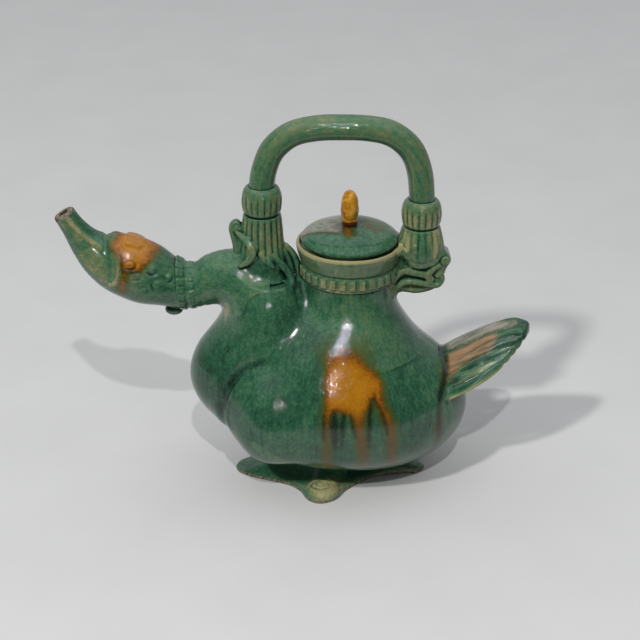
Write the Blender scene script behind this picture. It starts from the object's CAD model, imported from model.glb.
# Looks of a duck teapot in green and amber lead glaze: its fine clay surfaces, glazes, camera, floor
# and light. Lengths are in millimetres until MM turns them into metres.
import math
from concurrent.futures import ThreadPoolExecutor
from functools import partial
from typing import Callable, NamedTuple

import bpy
import numpy as np
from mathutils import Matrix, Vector


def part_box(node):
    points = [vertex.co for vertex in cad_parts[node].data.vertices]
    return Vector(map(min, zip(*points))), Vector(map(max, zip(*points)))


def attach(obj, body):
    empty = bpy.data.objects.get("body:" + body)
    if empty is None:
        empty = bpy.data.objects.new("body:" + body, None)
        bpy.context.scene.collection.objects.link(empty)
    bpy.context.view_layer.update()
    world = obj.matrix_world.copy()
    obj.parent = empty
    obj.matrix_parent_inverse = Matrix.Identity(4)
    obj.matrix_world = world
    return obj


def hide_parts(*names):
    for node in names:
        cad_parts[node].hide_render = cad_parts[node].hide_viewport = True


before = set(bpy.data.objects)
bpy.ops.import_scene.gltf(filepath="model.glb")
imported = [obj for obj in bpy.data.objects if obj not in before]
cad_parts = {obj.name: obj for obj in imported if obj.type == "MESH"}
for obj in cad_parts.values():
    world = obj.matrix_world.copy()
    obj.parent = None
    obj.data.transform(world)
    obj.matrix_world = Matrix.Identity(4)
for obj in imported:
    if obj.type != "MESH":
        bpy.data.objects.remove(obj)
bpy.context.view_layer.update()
MM = 0.001

# Camera of the photograph
CAMERA_AT = (-15.7, -910.0, 547.2)
CAMERA_PITCH = 26.5
FOCAL_PIXELS = 1874.0
FRAME_PIXELS = 640.0
SENSOR = 36.0


def make_camera():
    data = bpy.data.cameras.new("camera")
    data.sensor_width = SENSOR
    data.lens = FOCAL_PIXELS / FRAME_PIXELS * SENSOR
    camera = bpy.data.objects.new("camera", data)
    camera.location = Vector(CAMERA_AT) * MM
    camera.rotation_euler = (math.radians(90 - CAMERA_PITCH), 0, 0)
    bpy.context.scene.collection.objects.link(camera)
    bpy.context.scene.camera = camera


# Distance fields: each takes rows of points and gives their distance from a clay form, negative inside
def smooth_min(a, b, blend):
    near = np.maximum(blend - np.abs(a - b), 0) / blend
    return np.minimum(a, b) - near * near * blend / 4


def smooth_max(a, b, blend):
    return -smooth_min(-a, -b, blend)


def smooth_step(start, end, x):
    t = np.clip((x - start) / (end - start), 0, 1)
    return t * t * (3 - 2 * t)


def mirrored(p):
    q = p.copy()
    q[:, 1] = np.abs(q[:, 1])
    return q


def from_axis(p, x=0):
    return np.hypot(p[:, 0] - x, p[:, 1])


def ellipsoid(p, centre, radii):
    radii = np.asarray(radii, np.float32)
    q = (p - np.asarray(centre, np.float32)) / radii
    k0 = np.sqrt((q * q).sum(-1))
    q = q / radii
    return k0 * (k0 - 1) / np.maximum(np.sqrt((q * q).sum(-1)), 1e-5)


def ball(p, centre, radius):
    return np.sqrt(((p - np.array(centre, np.float32)) ** 2).sum(-1)) - radius


def curve_points(rows, steps):
    """A smooth curve through rows of numbers, sampled evenly in its parameter."""
    rows = np.asarray(rows, np.float32)
    ends = np.vstack([2 * rows[0] - rows[1], rows, 2 * rows[-1] - rows[-2]])
    t = np.linspace(0, len(rows) - 1, steps)
    i = np.minimum(t.astype(int), len(rows) - 2)
    u = (t - i)[:, None].astype(np.float32)
    a, b, c, d = (ends[i + k] for k in range(4))
    return 0.5 * (
        2 * b + (c - a) * u + (2 * a - 5 * b + 4 * c - d) * u ** 2 + (3 * b - a - 3 * c + d) * u ** 3
    )


def along(p, line):
    """The nearest place on a line of points, counted in points, and the distance to it."""
    best = np.full(len(p), 1e9, np.float32)
    place = np.zeros(len(p), np.float32)
    for i in range(len(line) - 1):
        step = line[i + 1] - line[i]
        t = np.clip(((p - line[i]) @ step) / max(float(step @ step), 1e-9), 0, 1)
        gap = p - line[i] - t[:, None] * step
        far = (gap * gap).sum(-1)
        near = far < best
        best[near] = far[near]
        place[near] = i + t[near]
    return place, np.sqrt(best)


def between(place, column):
    """Values of a column at places that lie between its entries."""
    return np.interp(place, np.arange(len(column)), column).astype(np.float32)


def box_gap(p, low, high):
    """Squared distance from a box."""
    gap = np.maximum(np.maximum(low - p, p - high), 0)
    return (gap * gap).sum(-1)


REACH = 9.0  # how far from a small form its distance still matters


def in_reach(p, low, high, form):
    """Works a form out only near its box, and gives the distance to the box elsewhere."""
    values = np.sqrt(box_gap(p, low, high))
    near = np.nonzero(values < REACH)[0]
    values[near] = form(p[near]) if len(near) else 0
    return values


def strand(p, rows, squash=(1, 1, 1), steps=0):
    """A rod of clay that bends through rows of x, y, z and radius; squash flattens or widens it."""
    rows = curve_points(rows, steps or 4 * len(rows))
    squash = np.asarray(squash, np.float32)
    line = rows[:, :3] / squash
    radius = rows[:, 3]

    def form(q):
        place, far = along(q / squash, line)
        return (far - between(place, radius)) * float(squash.min())

    wide = radius.max() * squash.max()
    return in_reach(p, rows[:, :3].min(0) - wide, rows[:, :3].max(0) + wide, form)


def carved(p, values, rows, width, axes=(0, 1, 2)):
    """Sinks a groove along rows of place and depth, or raises a ridge where the depth is negative."""
    rows = curve_points(rows, 4 * len(rows))
    count = len(axes)
    q = p[:, axes]
    near = np.nonzero(box_gap(q, rows[:, :count].min(0), rows[:, :count].max(0)) < (3 * width) ** 2)[0]
    if len(near):
        place, far = along(q[near], rows[:, :count])
        values[near] += between(place, rows[:, count]) * np.exp(-(far / width) ** 2)
    return values


def mounds(p, values, spots):
    """Raises low round mounds, given as x, y, z, height and radius."""
    for x, y, z, height, radius in spots:
        gap = p - np.array((x, y, z), np.float32)
        far = (gap * gap).sum(-1) / radius ** 2
        near = np.nonzero(far < 4)[0]
        values[near] -= height * np.exp(-far[near] ** 2)
    return values


def polygon(q, corners):
    """Distance in a plane from a closed outline."""
    corners = np.asarray(corners, np.float32)
    best = np.full(len(q), 1e9, np.float32)
    inside = np.zeros(len(q), bool)
    for a, b in zip(corners, np.roll(corners, -1, 0)):
        step = b - a
        if not step.any():
            continue
        t = np.clip(((q - a) @ step) / float(step @ step), 0, 1)
        gap = q - a - t[:, None] * step
        best = np.minimum(best, (gap * gap).sum(-1))
        spans = (a[1] <= q[:, 1]) != (b[1] <= q[:, 1])
        if step[1]:
            inside ^= spans & (q[:, 0] < a[0] + (q[:, 1] - a[1]) / step[1] * step[0])
    return np.where(inside, -1, 1) * np.sqrt(best)


REEDS = 18


def reeds(p, x):
    """Height from 0 to 1 across the round reeds that lie side by side round an upright axis at x."""
    across = (np.arctan2(p[:, 1], p[:, 0] - x) * REEDS / (2 * np.pi)) % 1 * 2 - 1
    return np.sqrt(np.maximum(1 - 0.96 * across * across, 0))


PAST_AXIS = -4.0  # where the outline of a turned form closes


def turned(p, x, profile, rounding=0.4, flutes=None):
    """A turned form about an upright axis at x; flutes gives how deep it is fluted at each height."""
    outline = curve_points(profile, 3 * len(profile))
    outline = np.vstack([[PAST_AXIS, outline[0][1]], outline, [PAST_AXIS, outline[-1][1]]])
    across = from_axis(p, x)
    if flutes:
        depth = np.interp(p[:, 2], *zip(*flutes))
        across = across + depth * (1 - reeds(p, x))
    return polygon(np.stack([across, p[:, 2]], -1).astype(np.float32), outline) - rounding


TUCK = 0.05  # how far a fillet sinks into its base
TUCK_DEPTH = 3.0  # how far a piece reaches into its base


def luted(piece, base, fillet):
    """A piece with a fillet of clay onto its base, which ends just inside the base."""
    joined = smooth_min(piece, base, fillet) + TUCK
    return np.maximum(np.maximum(joined, -(base + TUCK_DEPTH)), piece - fillet)


def uneven(p, size, height):
    """The slight unevenness of clay shaped by hand."""
    x, y, z = (p * (2 * np.pi / size)).T
    waves = (
        np.sin(x + 1.3 * np.sin(0.7 * z)) * np.sin(0.9 * y + 0.4)
        + np.sin(1.1 * z + 0.8 * y) * np.sin(0.8 * x + 2)
    )
    return height * waves


# Body of the pot
WALL = 5.0
MOUTH_RADIUS = 21.6
MOUTH_FROM_Z = 60.0  # the bore of the mouth is open from here up
THROAT_FROM_Z = 84.0
THROAT_TO_Z = 121.0
THROAT = [(40, 80), (34, 90), (30, 97), (27, 103.5), (25.2, 110), (24.4, 116), (24.4, 124)]  # radius, height
BREAST = ((-43, 0, 63), (44, 32.5, 35.5))
SHOULDER = ((-43.7, 0, 94), (24, 28, 39))
BELLY = ((0, 0, 46), (51.3, 38, 31))
FLANK = ((-11.8, 0, 81), (39.6, 33, 24.6))
BACK = ((-2.3, 0, 79.8), (30, 34, 34.6))
HAUNCH = ((-11.4, 17, 52.6), (60, 33, 32.2))
THIGH = ((-40.2, 24, 50.6), (24, 26.5, 29.8))
RUMP = ((16.5, 0, 46.2), (48.6, 36, 39))
TRUNK_BLENDS = ((BACK, 16), (FLANK, 14), (HAUNCH, 26), (RUMP, 12))  # how softly each joins those before it
THROAT_BLEND = 4
BREAST_BLEND = 14
FRONT_BLEND = 7
THIGH_BLEND = 5
THIGH_CREASE = [  # x, distance from the middle plane, z and depth
    (-42, 32, 86, 0.05), (-46.4, 31.2, 84.8, 0.5), (-54.5, 29.8, 80.5, 1.8), (-59.9, 29, 75.2, 2.8),
    (-64.9, 28.8, 67.8, 3.4), (-68.1, 28.9, 59.3, 3.6), (-68.8, 28, 50.8, 3.4), (-67.5, 24, 42, 2.6),
    (-64, 18, 34, 1.2),
]
THIGH_LIP = [
    (-48, 32, 81.5, -0.1), (-54, 31.1, 78.1, -0.6), (-59.4, 30.7, 72.5, -0.9), (-63.3, 30.8, 66.5, -1),
    (-66.1, 30.9, 59.2, -1), (-66.8, 30.7, 51.7, -0.9), (-64.7, 31.7, 45.5, -0.5),
]
REAR_CREASE = [
    (31, 33.8, 74.8, 0.1), (35.3, 37.3, 65.8, 0.6), (39.7, 38.3, 56.6, 0.9), (43.9, 36.1, 46.7, 0.9),
    (47.8, 28.5, 34.3, 0.4),
]
THROAT_CREASE = [
    (-30.6, 11.1, 121, 1), (-28.4, 13.2, 117.9, 1), (-26.8, 15.1, 112.9, 0.9), (-24.7, 17.7, 107, 0.6),
    (-23.1, 23, 102, 0.2),
]
BODY_LINES = ((THIGH_CREASE, 2.9), (THIGH_LIP, 2.6), (REAR_CREASE, 5), (THROAT_CREASE, 1.6))  # with widths


def throat(p):
    """The turned neck under the collar, which flares into the back."""
    rows = curve_points(THROAT, 40)
    radius = np.interp(p[:, 2], rows[:, 1], rows[:, 0])
    slope = np.interp(p[:, 2], rows[:, 1], np.gradient(rows[:, 0], rows[:, 1]))
    side = (from_axis(p) - radius) / np.sqrt(1 + slope * slope)
    return np.maximum(side, THROAT_FROM_Z - p[:, 2])


def body_outside(p):
    m = mirrored(p)
    trunk = ellipsoid(m, *BELLY)
    for mass, blend in TRUNK_BLENDS:
        trunk = smooth_min(trunk, ellipsoid(m, *mass), blend)
    trunk = smooth_min(trunk, throat(p), THROAT_BLEND)
    front = smooth_min(ellipsoid(m, *BREAST), ellipsoid(m, *SHOULDER), BREAST_BLEND)
    whole = smooth_min(smooth_min(trunk, front, FRONT_BLEND), ellipsoid(m, *THIGH), THIGH_BLEND)
    for line, width in BODY_LINES:
        whole = carved(m, whole, line, width)
    return smooth_max(whole, p[:, 2] - THROAT_TO_Z, 0.6) + uneven(p, size=46, height=0.12)


def body(p):
    outside = body_outside(p)
    mouth = smooth_max(from_axis(p) - MOUTH_RADIUS, MOUTH_FROM_Z - p[:, 2], 1)
    return smooth_max(outside, -smooth_min(outside + WALL, mouth, 2), 0.5)


# Head, bill and neck
HEAD = [
    (-152.5, 159.4, 5.4, 5.6), (-151, 156.6, 5.6, 5.9), (-146.5, 149, 6.4, 6.6), (-140.3, 140, 8, 9),
    (-134, 134, 10.5, 12.6), (-127.5, 130.3, 13, 15.8), (-119.5, 126.6, 15.5, 17.4),
    (-108, 121.4, 16, 16.9), (-98, 117.4, 14.4, 14.3), (-88.5, 114.8, 12.6, 12.9), (-80, 115.3, 12, 12.2),
    (-71, 119, 13.5, 13.8), (-61, 119.6, 15.2, 15.2), (-50, 115.5, 15.5, 15.5),
]
BILL_END = (-151, 156.9)
BILL_AIM = (-0.5, 0.866)
BILL_HOLE = [(-155, 0, 163.8, 2.3), (-149, 0, 153.4, 2.4), (-143, 0, 144.5, 2.6)]
# Lines modelled on the head: x, distance from the middle plane, z and depth, negative for a ridge
BILL_RIM = [
    (-122.6, 1, 145.4, -0.7), (-125.4, 5, 143.4, -1), (-125.2, 8.6, 141, -1.1), (-123, 11.2, 138, -1.2),
    (-121.2, 13.8, 134, -1.2), (-121, 15.2, 128.7, -1.2), (-122.9, 14.8, 123.3, -1.1),
    (-126.5, 12.8, 120.6, -0.8), (-131, 9, 119, -0.4),
]
BILL_ROOT = [
    (-129.4, 1, 144.6, 0.8), (-129, 8, 140.8, 1.3), (-128, 11, 136.7, 1.2), (-127, 12.9, 131.7, 1.1),
    (-126.4, 13.6, 127.4, 0.9), (-128, 13, 123.6, 0.5),
]
BILL_LOOP = [
    (-139.2, 8.2, 139.4, 0.8), (-135.5, 8.1, 140.6, 0.9), (-130.9, 10.5, 136.4, 1.1),
    (-128.9, 12.4, 132.1, 0.9), (-129, 12.8, 128.2, 1), (-131.9, 11.6, 127.1, 1.1),
    (-135.2, 10.4, 129.5, 1), (-138.4, 9.1, 135, 0.8),
]
BILL_RIDGE = [
    (-148.1, 5.5, 155.5, -0.3), (-144.8, 5.8, 151.1, -0.8), (-141.1, 6, 147.4, -0.9),
    (-137.6, 6.3, 144.4, -0.9), (-133.9, 7.1, 141.9, -0.9), (-131.2, 8.4, 140.1, -0.5),
]
OVER_RIDGE = [
    (-146.1, 4.6, 155.7, 0.2), (-142.6, 4.4, 151.2, 0.7), (-139.1, 4.4, 147.8, 0.8),
    (-135.5, 4.6, 145, 0.7), (-131.8, 5.6, 143, 0.4),
]
BROW = [
    (-118.4, 6.6, 142.4, -0.7), (-115, 7, 142, -1), (-111.4, 7.2, 141, -0.8), (-108.8, 4.9, 141.6, -0.4),
    (-106, 3.4, 142, -0.1),
]
BROW_LINE = [
    (-119.3, 7.9, 141.6, 1.1), (-118, 8.9, 141, 1.6), (-115.3, 8.8, 140.6, 1.7), (-112.7, 9.6, 139.5, 1.8),
    (-110.6, 9.2, 139.3, 1.7), (-108.6, 7, 140.2, 1.2), (-107.3, 4.2, 141.1, 0.5),
]
BROW_FOLD = [
    (-119.2, 3.6, 144, 0.5), (-119.4, 5.6, 143.2, 1.1), (-119.2, 7.9, 141.6, 1), (-118.4, 9.7, 140.1, 0.6),
]
CAP_EDGE = [
    (-120.2, 14.6, 131.6, 0.8), (-119, 15.2, 130.4, 1.5), (-116.8, 15.4, 129.2, 1.4),
    (-114.2, 15.5, 128.8, 1.4), (-111, 15.3, 129, 1.4), (-109, 14.8, 130.2, 1.3), (-108, 14.2, 131.6, 1),
    (-105.1, 12.4, 133.6, 0.8), (-102.8, 9.5, 136, 0.5), (-100.7, 5.7, 137.6, 0.3),
]
FEATHER_LINE = [(-110, 15.2, 129.3, 0.3), (-108, 15.8, 125.5, 0.7), (-106.5, 15.9, 122.7, 0.3)]
EYE_AT = (-116.2, 14.3, 133)
EYE_SIZE = (3.1, 1.7, 2.1)
CHEEK_FEATHERS = [  # x, distance from the middle plane, z, half length and half height
    (-113.2, 15.9, 126.5, 2.9, 1.5), (-103.9, 14, 129.9, 2.6, 2.3), (-101.7, 15.2, 121.7, 2.4, 2.2),
    (-95.6, 12.4, 124.6, 1.8, 1.6), (-109, 15.6, 118.4, 2.2, 1.6),
]
KNOB = ((-94.6, 0, 100.3), (4.9, 4, 3.2))


def tube(p, rows):
    """A tube bent in the upright middle plane, through rows of x, z, half width and half height."""
    rows = curve_points(rows, 4 * len(rows))
    place, far = along(p[:, [0, 2]], rows[:, :2])
    wide = between(place, rows[:, 2])
    high = between(place, rows[:, 3])
    y = p[:, 1]
    k0 = np.hypot(y / wide, far / high)
    return k0 * (k0 - 1) / np.maximum(np.hypot(y / wide ** 2, far / high ** 2), 1e-4)


def oval(x, y, z, long, high, depth, count=9):
    """Rows of a closed oval line on the side of the head."""
    turns = np.linspace(0, 2 * np.pi, count)
    return [(x + long * math.cos(a), y, z + high * math.sin(a), depth) for a in turns]


HEAD_LINES = (  # with their widths
    (BILL_RIM, 1.7), (BILL_ROOT, 1.3), (BILL_LOOP, 0.85), (BILL_RIDGE, 1.4), (OVER_RIDGE, 1.2),
    (BROW, 1.5), (BROW_LINE, 0.8), (BROW_FOLD, 0.8), (CAP_EDGE, 0.7), (FEATHER_LINE, 0.7),
    (oval(*EYE_AT, 3.9, 2.8, 0.9), 0.7),
    (oval(EYE_AT[0], EYE_AT[1] + 0.4, EYE_AT[2], 5.2, 4, -0.5), 0.8),
)


def past_bill_end(p):
    return (p[:, 0] - BILL_END[0]) * BILL_AIM[0] + (p[:, 2] - BILL_END[1]) * BILL_AIM[1]


def neck_and_head(p):
    m = mirrored(p)
    form = smooth_max(tube(p, HEAD), past_bill_end(p), 1.2)
    for line, width in HEAD_LINES:
        form = carved(m, form, line, width)
    for x, y, z, long, high in CHEEK_FEATHERS:
        form = carved(m, form, oval(x, y, z, long + 0.6, high + 0.6, 0.8), 0.7)
        form = mounds(m, form, [(x - 0.3 * long, y, z, 0.6, high), (x + 0.3 * long, y, z, 0.6, high)])
    return smooth_max(form, -strand(p, BILL_HOLE), 0.7) + uneven(p, size=30, height=0.1)


NECK_LINES = ((-92.9, 0), (-80.3, 0.12))  # place and lean of the lines on both sides of the band


def head(p):
    form = neck_and_head(p)
    for x, lean in NECK_LINES:
        away = p[:, 0] - x + lean * (p[:, 2] - 124)
        form = form + 0.3 * np.exp(-(away / 1.3) ** 2)
    return luted(form, body_outside(p), fillet=9)


# Band round the neck: two rows of low studs
BAND_SPAN = (-92.6, -80.6)
BAND_STUDS = 18
NECK_Z = 115
STUD_ROWS = ((-89.7, 2.15, 0.0, 0.75), (-84.2, 1.5, 0.5, 0.5))  # place, half width, shift round, height


def neck_band(p):
    x = p[:, 0] + 0.06 * (p[:, 2] - NECK_Z)
    angle = np.arctan2(p[:, 2] - NECK_Z, p[:, 1]) / (2 * np.pi) * BAND_STUDS
    form = tube(p, HEAD)
    for place, half, shift, height in STUD_ROWS:
        around = np.abs((angle + shift) % 1 - 0.5)
        stud = smooth_step(0.46, 0.32, around) * smooth_step(half + 0.4, half - 0.5, np.abs(x - place))
        form = form - height * stud
    ends = np.abs(x - sum(BAND_SPAN) / 2) - (BAND_SPAN[1] - BAND_SPAN[0]) / 2
    return smooth_max(form, ends, 1.8)


# Mouth collar
BLOCKS = 31
COLLAR_OUTSIDE = [
    (24.6, 121.2), (25.1, 122), (25.2, 129), (25.9, 130.4), (26.8, 133.5), (27.7, 137), (28.1, 139.2),
    (27.9, 140.2), (27.3, 140.7), (26.9, 140.2), (26.7, 138.6),
]
LEDGE_Z = 138
LEDGE_RADIUS = 26.4
BLOCKS_Z = 125.8
COLLAR_LINE_Z = 129.7


def collar_blocks(p):
    """How much of a block there is at each place, from 0 to 1, and how far it stands out."""
    angle = np.arctan2(p[:, 1], p[:, 0]) / (2 * np.pi) * BLOCKS
    odd = np.sin(np.floor(angle) * 12.9) * 0.5 + 0.5
    around = np.abs(angle % 1 - 0.5)
    height = np.abs(p[:, 2] - BLOCKS_Z - 0.4 * (odd - 0.5))
    return smooth_step(0.36 + 0.02 * odd, 0.27, around) * smooth_step(3.1, 2.4, height), 1.2 + 0.3 * odd


def mouth_collar(p):
    block, rise = collar_blocks(p)
    form = turned(p, 0, COLLAR_OUTSIDE)
    form = form - rise * block + 0.6 * np.exp(-((p[:, 2] - COLLAR_LINE_Z) / 0.7) ** 2)
    across = from_axis(p)
    bore = across - MOUTH_RADIUS
    recess = smooth_max(across - LEDGE_RADIUS, LEDGE_Z - p[:, 2], 0.6)
    return smooth_max(form, -np.minimum(bore, recess), 0.7) + uneven(p, size=37, height=0.12)


# Tail: x, ridge height, edge height and half width
TAIL = [
    (38, 69, 55, 24), (50, 76, 57.5, 26), (60, 82, 62.2, 26.8), (70, 87.3, 67.8, 25.6),
    (80, 92.1, 73.6, 21.4), (89, 94.7, 80.6, 15), (95, 93.6, 86.6, 8.4), (97.4, 91.6, 89.4, 3.6),
    (98.8, 90, 89.8, -1.8),
]
TAIL_THICK = 5.2
TAIL_THINNING = 0.6
TAIL_FROM_X = 44
TAIL_RIM = (0.6, 2.2, 1.5)  # height, distance inside the edge and width
GROOVES_FADE = (-0.6, -3.4)  # distances inside the edge over which the grooves run out
# Lines between the feathers, as x, distance from the middle plane and depth
FEATHER_EDGES = [
    [(50, 12.6, 0.3), (55.8, 12, 0.6), (65.4, 10.9, 0.8), (75, 9.7, 0.9), (84.7, 8.5, 1.1), (90, 7.5, 1.3),
     (95, 8.3, 1.3)],
    [(50, 17.4, 0.4), (55.6, 16.6, 0.8), (65.2, 15.4, 1), (74.8, 14, 1), (84.6, 12.5, 1.2),
     (89.9, 12, 1.2)],
    [(50, 17.6, 0.3), (59.8, 18.3, 0.9), (68.8, 18.2, 1), (79.6, 16.4, 0.9), (87, 14.6, 1.2)],
    [(49, 20.4, 0.6), (58.1, 22, 1.1), (69.2, 21.6, 1.2), (78.4, 19, 0.9), (83.2, 17.4, 1.2)],
    [(50, 5, 0.2), (62, 5.2, 0.5), (78, 4.4, 0.6), (88, 3.2, 0.3)],
]
FEATHER_BARBS = [
    [(52, 8.8, 0.2), (66, 7.8, 0.35), (80, 6.6, 0.35), (88, 5.2, 0.2)],
    [(52, 2.4, 0.15), (66, 2.4, 0.3), (82, 1.6, 0.2)],
    [(54, 14.3, 0.25), (66, 13.1, 0.35), (80, 11.1, 0.35), (88, 9.8, 0.2)],
    [(60, 20.2, 0.3), (70, 20, 0.35), (79, 17.9, 0.2)],
    [(54, 23.6, 0.2), (62, 24, 0.3), (70, 23.2, 0.2)],
]
TAIL_NOTCHES = [(94, 8.6, 0.8), (90.2, 12.2, 0.6), (87.2, 14.8, 0.6), (83.6, 18, 0.6)]  # x, side, depth


def tail(p):
    x, z = p[:, 0], p[:, 2]
    y = np.abs(p[:, 1])
    rows = curve_points(TAIL, 80)
    ridge, edge, width = (np.interp(x, rows[:, 0], rows[:, k]) for k in (1, 2, 3))
    fall = ridge - edge
    share = np.clip(y / np.maximum(width, 1), 0, 1.4)
    arch = ridge - fall * share ** 1.6
    steep = np.sqrt(1.35 + (1.6 * fall * share ** 0.6 / np.maximum(width, 4)) ** 2)
    thick = TAIL_THICK * (1 - TAIL_THINNING * np.minimum(share, 1) ** 2)
    slab = (np.abs(z - arch + thick / 2) - thick / 2) / steep
    outline = (y - width) * 0.8
    for nx, ny, depth in TAIL_NOTCHES:
        outline = outline + depth * np.exp(-((x - nx) ** 2 + (y - ny) ** 2) / 1.5 ** 2)
    rise, inset, breadth = TAIL_RIM
    slab = slab - rise * np.exp(-((outline + inset) / breadth) ** 2)
    plan = np.stack([x, y, z], -1)
    grooves = np.zeros_like(slab)
    for lines, groove in ((FEATHER_EDGES, 0.85), (FEATHER_BARBS, 0.6)):
        for line in lines:
            grooves = carved(plan, grooves, line, groove, axes=(0, 1))
    slab = slab + grooves * smooth_step(*GROOVES_FADE, outline)
    form = smooth_max(slab, outline, 1.8)
    form = smooth_max(form, TAIL_FROM_X - x, 1)
    return luted(form, body_outside(p), fillet=2.2)


# Foot: one side of the outline, from the front toe to the rear toe
FOOT = [
    (-63.2, 0), (-61, -5), (-54, -9.8), (-43, -14.5), (-32.5, -19.3), (-25.5, -27), (-21, -34.5),
    (-15.7, -37.3), (-10, -34.5), (-4, -28), (2.7, -20.3), (14, -10.5), (29, -6.5), (39, -5.5), (43.6, 0),
]
FOOT_MIDDLE = (-10, 0)
TOE_CURL = (-14.6, 29)
TOE_SIZE = (9.5, 8.4, 5.6)
TOE_SPIRAL = ((7.2, 0.46), (6, 0.4))  # half length and half width, and how much of each a radian takes away
FOOT_THICK = 3.1
FOOT_RISE = 1.6  # inside its edge
ANKLE_RISE = 10  # towards its middle
WEB_FOLDS = 5


def foot(p):
    x, z = p[:, 0], p[:, 2]
    y = np.abs(p[:, 1])
    edge = curve_points(FOOT, 90)
    angle = np.arctan2(-edge[:, 1], FOOT_MIDDLE[0] - edge[:, 0])
    order = np.argsort(angle)
    reach = np.hypot(edge[:, 1], FOOT_MIDDLE[0] - edge[:, 0])
    across = np.hypot(y, x - FOOT_MIDDLE[0])
    outer = np.interp(np.arctan2(y, FOOT_MIDDLE[0] - x), angle[order], reach[order])
    share = across / outer
    top = FOOT_THICK + FOOT_RISE * smooth_step(1, 0.7, share) + ANKLE_RISE * smooth_step(0.8, 0.2, share)
    form = smooth_max((across - outer) * 0.55, (z - top) * 0.85, 1.6)
    long, wide, high = TOE_SIZE
    mound = ((x - TOE_CURL[0]) / long) ** 2 + ((y - TOE_CURL[1]) / wide) ** 2 + ((z - 2.4) / high) ** 2
    form = smooth_min(form, (np.sqrt(mound) - 1) * 4.8, 2.5)
    plan = np.stack([x, y, z], -1)
    turns = np.linspace(0.4, 4.3 * np.pi, 24)
    (half, shorter), (breadth, narrower) = TOE_SPIRAL
    curl = [
        (
            TOE_CURL[0] + (half - shorter * a) * math.cos(a),
            TOE_CURL[1] - (breadth - narrower * a) * math.sin(a),
            0.75,
        )
        for a in turns
    ]
    form = carved(plan, form, curl, 0.7, axes=(0, 1))
    for k in range(WEB_FOLDS):
        near, far = 27.5 - 2.6 * k, 14 - 1.6 * k
        x0 = 1.5 * k
        fold = [(x0 - 4.6, near, 0.1), (x0 - 5.2, (near + far) / 2, 0.55), (x0 - 3, far, 0.1)]
        form = carved(plan, form, fold, 0.75, axes=(0, 1))
    form = luted(form, body_outside(p), fillet=4)
    return smooth_max(form, 0.02 - z, 0.6)


# Handle
FRONT_LEG_X = -46.3
REAR_LEG_X = 37.9
HANDLE_RADIUS = 6.8
ARCH_MIDDLE = (-4.2, 165)
BEADS = {  # axis, foot and top
    "front_bead": (FRONT_LEG_X, 156.9, 172.2),
    "rear_bead": (REAR_LEG_X, 150, 164.7),
}
BAIL = [
    (-46.3, 0, 161.5), (-46.3, 0, 172), (-44.6, 0, 182), (-40, 0, 192.5), (-30.5, 0, 200.8), (-18, 0, 204),
    (-4.3, 0, 204.6), (9.5, 0, 204), (22, 0, 200.8), (31.5, 0, 192.5), (36.2, 0, 181), (37.9, 0, 166),
    (37.9, 0, 154.8),
]
FRONT_SOCKET = [
    (12.8, 122), (12.6, 130), (12.2, 134), (11.6, 138), (11, 142), (10.7, 147), (10.3, 152), (9.8, 155.6),
    (8.8, 156.5),
]
REAR_SOCKET = [
    (6, 129.6), (9, 130.4), (11.2, 133), (12, 137), (11.8, 141), (10.8, 145.4), (9.9, 148.6), (8.8, 149.6),
]
BEAD_FLUTES = ((0.1, 0.2), (0.22, 1.2), (0.58, 1.2), (0.74, 0))  # share of the height and depth
BEAD_PROFILE = [  # radius and share of the height
    (7.8, 0.03), (9, 0.05), (9.7, 0.12), (10.1, 0.25), (10.4, 0.42), (10.3, 0.58), (9.8, 0.75), (8.8, 0.9),
    (7.4, 0.98),
]


def bead(name, p):
    x, z0, z1 = BEADS[name]
    rise = z1 - z0
    shape = [(r, z0 + share * rise) for r, share in BEAD_PROFILE]
    flutes = [(z0 + share * rise, depth) for share, depth in BEAD_FLUTES]
    return turned(p, x, shape, flutes=flutes)


def bail(p):
    return strand(p, [(*row, HANDLE_RADIUS) for row in BAIL], steps=60) + uneven(p, size=33, height=0.1)


def spread_reeds(p, form, x, start, end, depth):
    """Carries a socket's reeds out over its foot, where they end in pointed tongues."""
    across = from_axis(p, x)
    reed = reeds(p, x)
    fade = smooth_step(end, start, across + 3 * (1 - reed)) * smooth_step(start - 3, start, across)
    return form + depth * ((1 - reed) - 0.25) * fade


# Roots that run from the front socket's foot over the shoulder, as x, side, z and radius
ROOTS = [
    [(-47.6, 12.4, 138.4, 0.9), (-45.6, 12, 136, 1.6), (-43.2, 12.4, 133.6, 1.7), (-40.4, 12.6, 131, 1)],
    [(-40.6, 10, 136.6, 1), (-37.6, 9.4, 132.6, 1.9), (-34, 8.4, 128, 2.1), (-31.4, 9, 123.8, 1.9),
     (-30, 12, 119.6, 1.1)],
    [(-35, 3.4, 136.2, 1.2), (-33.2, 3.2, 132, 1.7), (-31.8, 3.6, 128, 1.7), (-30.4, 4.6, 124.6, 1)],
    [(-34, 0, 137.6, 1.8), (-31.4, 0, 134.6, 2), (-29.2, 1, 131, 1.9), (-27.8, 2.8, 126.6, 1.7),
     (-26.8, 4.6, 121, 1.2)],
]


def socket_seat(p):
    """What the front socket is stuck on: the shoulder with the root of the neck."""
    return smooth_min(body_outside(p), neck_and_head(p), 9)


def front_socket(p):
    flutes = [(131, 0.1), (135, 0.4), (140, 1.1), (154, 1.1), (155.8, 0.4)]
    form = turned(p, FRONT_LEG_X, FRONT_SOCKET, flutes=flutes)
    m = mirrored(p)
    for rows in ROOTS:
        form = smooth_min(form, strand(m, rows), 1)
    return luted(spread_reeds(p, form, FRONT_LEG_X, 13, 16, 0.8), socket_seat(p), fillet=2.4)


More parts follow.
